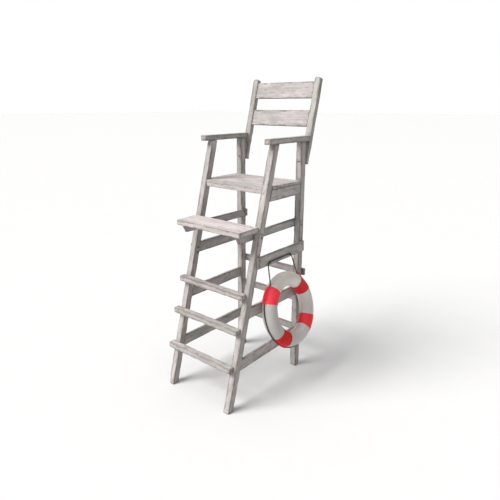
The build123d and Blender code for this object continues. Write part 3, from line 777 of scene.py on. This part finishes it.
def make_band(number, angle, painted_band_light):
    """A cloth band with doubled, stitched hems, pulled over the ropes that run under it."""
    rng = np.random.default_rng(20 + number)
    half = BAND_SPAN / 2 * RING_OUTER
    hem_lines = [0, 0.0005, 0.0014, 0.003, 0.0044, 0.0050, 0.0056, 0.0068, 0.0085]
    inner_lines = np.linspace(-half + 0.012, half - 0.012, 30)
    across = np.concatenate([-half + np.array(hem_lines), inner_lines, half - np.array(hem_lines[::-1])])
    section = np.linspace(0, 2 * math.pi, 180, endpoint=False)
    from_edge = half - np.abs(across)
    hem = np.clip((HEM_WIDTH - from_edge) / 0.0012, 0, 1)
    rolled = 0.0009 * np.exp(-((from_edge / 0.0006) ** 2))
    stitch_dip = 0.0005 * np.exp(-(((from_edge - STITCH_LINE) / 0.0006) ** 2))

    lateral = ((section + math.pi) % (2 * math.pi) - math.pi) * (GRAB_LINE - TUBE_LINE)
    # each rope with its place and how far along the band it runs: an upper band holds the end
    # of the grab line, which comes in from below, and of the hanging rope, from above
    up = {1: 1, 2: -1}.get(number, 0)
    ropes = [(0.0, np.ones(len(across)))]
    if up:
        ropes = []
        for at, sense in ((0.0, -up), (HANGER_BESIDE, up)):
            past_tail = (half + sense * across) / RING_OUTER - (BAND_SPAN - ROPE_TAIL)
            ropes.append((at, np.clip(past_tail / TAIL_EASE + 0.5, 0, 1)))
    bulges = [share[:, None] * np.exp(-(((lateral - at) / BULGE_WIDTH) ** 2)) for at, share in ropes]
    bulge = np.max(bulges, axis=0)
    # painted shade beside the rope: on an upper band it runs from the one rope's place to the other's
    shade_line = HANGER_BESIDE * (half + up * across) / (2 * half) if up else np.zeros(len(across))
    painted_crease_shade = np.exp(-(((lateral - shade_line[:, None]) / SHADE_LINE_WIDTH) ** 2))
    flat = torus_points(angle + across / RING_OUTER, section, RING_TUBE)
    folds = 0.00030 * ripple(flat, (0.02, 0.02, 0.02), rng).reshape(len(across), -1)
    folds += 0.00022 * ripple(flat, (0.007, 0.05, 0.05), rng).reshape(len(across), -1)
    cover = COVER + BULGE * bulge
    outer = cover + CLOTH_T + HEM_T * hem[:, None] - (rolled + stitch_dip)[:, None]
    outer += np.clip(folds, -0.0004, 0.0006)
    angles = angle + across / RING_OUTER
    skins = [torus_points(angles, section, outer), torus_points(angles, section, cover)]
    count, columns = len(skins[0]), len(section)
    quads = grid_quads(len(across), columns, wrap_columns=True)
    faces = quads.tolist() + (quads[:, ::-1] + count).tolist()
    for row, turn in ((0, -1), (len(across) - 1, 1)):
        for n in range(columns):
            a, b = row * columns + n, row * columns + (n + 1) % columns
            faces.append([a, b, b + count, a + count][::turn])
    round_tube = np.tile(section * RING_TUBE, len(across))
    attributes = {
        "weave": np.stack([round_tube, np.repeat(across, columns), np.full(count, number * 0.7)], 1),
        "hem": np.repeat(hem, columns),
        "painted_crease_shade": painted_crease_shade.ravel(),
        "painted_band_light": np.full(count, painted_band_light),
    }
    attributes = {key: np.concatenate([values, values]) for key, values in attributes.items()}
    name, replaced = f"band_cloth_{number}", [f"ring_band_{number}"]
    make_piece(name, np.concatenate(skins), faces, BAND, "ring_buoy", replaced, attributes)

    # the stitches: small grains of thread along both hems
    points, grains = [], []
    grain, grain_faces = thread_grain()
    for line in (-half + STITCH_LINE, half - STITCH_LINE):
        row = int(np.argmin(np.abs(across - line)))
        closed = np.append(outer[row], outer[row, 0]) + 0.0002
        for n in range(int(2 * math.pi * RING_TUBE / STITCH_PITCH)):
            at = n * STITCH_PITCH / RING_TUBE
            radius = np.interp(at / (2 * math.pi) * columns, np.arange(columns + 1), closed)
            here = torus_points([angles[row]], np.array([at, at + 0.01]), radius)
            ahead = (here[1] - here[0]) / np.linalg.norm(here[1] - here[0])
            out = math.cos(angles[row]) * BACK + math.sin(angles[row]) * RING_UP
            up = math.cos(at) * out + math.sin(at) * RING_AXIS
            up = up - ahead * (up @ ahead)
            up /= np.linalg.norm(up)
            grains += (grain_faces + len(points) * len(grain)).tolist()
            points.append(here[0] + grain @ np.array((ahead, np.cross(up, ahead), up)))
    make_piece(f"band_stitches_{number}", np.concatenate(points), grains, THREAD, "ring_buoy")


def thread_grain():
    """One stitch: a short bead of thread that dips at both ends. X is along it and Z outward."""
    rings, around = 6, 6
    length, thick = 0.0042, 0.00055
    points = []
    for n in range(rings):
        t = n / (rings - 1) * 2 - 1
        r = thick * math.sqrt(max(1 - t * t, 0.02))
        for k in range(around):
            a = 2 * math.pi * k / around
            points.append((t * length / 2, r * math.cos(a), r * math.sin(a) - 0.0004 * t * t))
    faces = grid_quads(rings, around, wrap_columns=True)
    caps = np.array([[0, 1, 2, 3], [3, 4, 5, 0]])
    last = caps[:, ::-1] + (rings - 1) * around
    return np.array(points), np.concatenate([faces, caps, last])


make_shell()
for number, (angle, painted_band_light) in enumerate(zip(BAND_ANGLES, BAND_PAINTED_LIGHT), start=1):
    make_band(number, angle, painted_band_light)


# ---------------------------------------------------------------- fasteners
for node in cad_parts.values():
    if not node.hide_render:
        for place in node.material_slots:
            place.material = STEEL


# ---------------------------------------------------------------- floor and light
TO_SUN = Vector((-0.35, -0.60, 0.72))
SUN_STRENGTH = 3.9
SUN_ANGLE = math.radians(34)
DOME_LOW, DOME_HIGH, DOME_POWER = 0.05, 1.85, 4.0
SEEN_WHITE = 1.0
FLOOR_WHITE = 0.655
FLOOR_SIZE = 240


def make_world():
    """A soft dome, brightest overhead, in front of a plain white backdrop."""
    world = bpy.data.worlds.new("studio")
    world.use_nodes = True
    nodes, links = world.node_tree.nodes, world.node_tree.links
    dome = nodes["Background"]
    split = nodes.new("ShaderNodeSeparateXYZ")
    links.new(nodes.new("ShaderNodeTexCoord").outputs["Generated"], split.inputs[0])
    power = nodes.new("ShaderNodeMath")
    power.operation = "POWER"
    power.inputs[1].default_value = DOME_POWER
    height = nodes.new("ShaderNodeMapRange")
    links.new(split.outputs["Z"], height.inputs["Value"])
    links.new(height.outputs[0], power.inputs[0])
    strength = nodes.new("ShaderNodeMapRange")
    strength.inputs["To Min"].default_value = DOME_LOW
    strength.inputs["To Max"].default_value = DOME_HIGH
    links.new(power.outputs[0], strength.inputs["Value"])
    links.new(strength.outputs[0], dome.inputs["Strength"])
    dome.inputs["Color"].default_value = (1, 1, 1, 1)

    backdrop = nodes.new("ShaderNodeBackground")
    backdrop.inputs["Color"].default_value = (1, 1, 1, 1)
    backdrop.inputs["Strength"].default_value = SEEN_WHITE
    choice = nodes.new("ShaderNodeMixShader")
    links.new(nodes.new("ShaderNodeLightPath").outputs["Is Camera Ray"], choice.inputs[0])
    links.new(dome.outputs[0], choice.inputs[1])
    links.new(backdrop.outputs[0], choice.inputs[2])
    links.new(choice.outputs[0], nodes["World Output"].inputs["Surface"])
    bpy.context.scene.world = world


def make_stage():
    low, high = CAD_BOX
    middle = (low + high) / 2
    under_feet = (middle.x, middle.y, low.z - 0.0005)
    bpy.ops.mesh.primitive_plane_add(size=FLOOR_SIZE, location=under_feet)
    floor = bpy.context.object
    floor.name = "floor"
    s = Shader("floor")
    place = s.add("TexCoord").outputs["Object"]
    colour = s.mix(s.noise(place, 3.0, 2.0), (FLOOR_WHITE - 0.01,) * 3, (FLOOR_WHITE + 0.01,) * 3)
    floor.data.materials.append(s.finish(Base_Color=colour, Roughness=0.95, Specular_IOR_Level=0.1))

    data = bpy.data.lights.new("sun", "SUN")
    data.energy = SUN_STRENGTH
    data.angle = SUN_ANGLE
    data.color = (1.0, 0.99, 0.98)
    sun = bpy.data.objects.new("sun", data)
    sun.rotation_euler = (-TO_SUN).to_track_quat("-Z", "Y").to_euler()
    bpy.context.scene.collection.objects.link(sun)


make_world()
make_stage()
bpy.context.scene.view_settings.view_transform = "Standard"
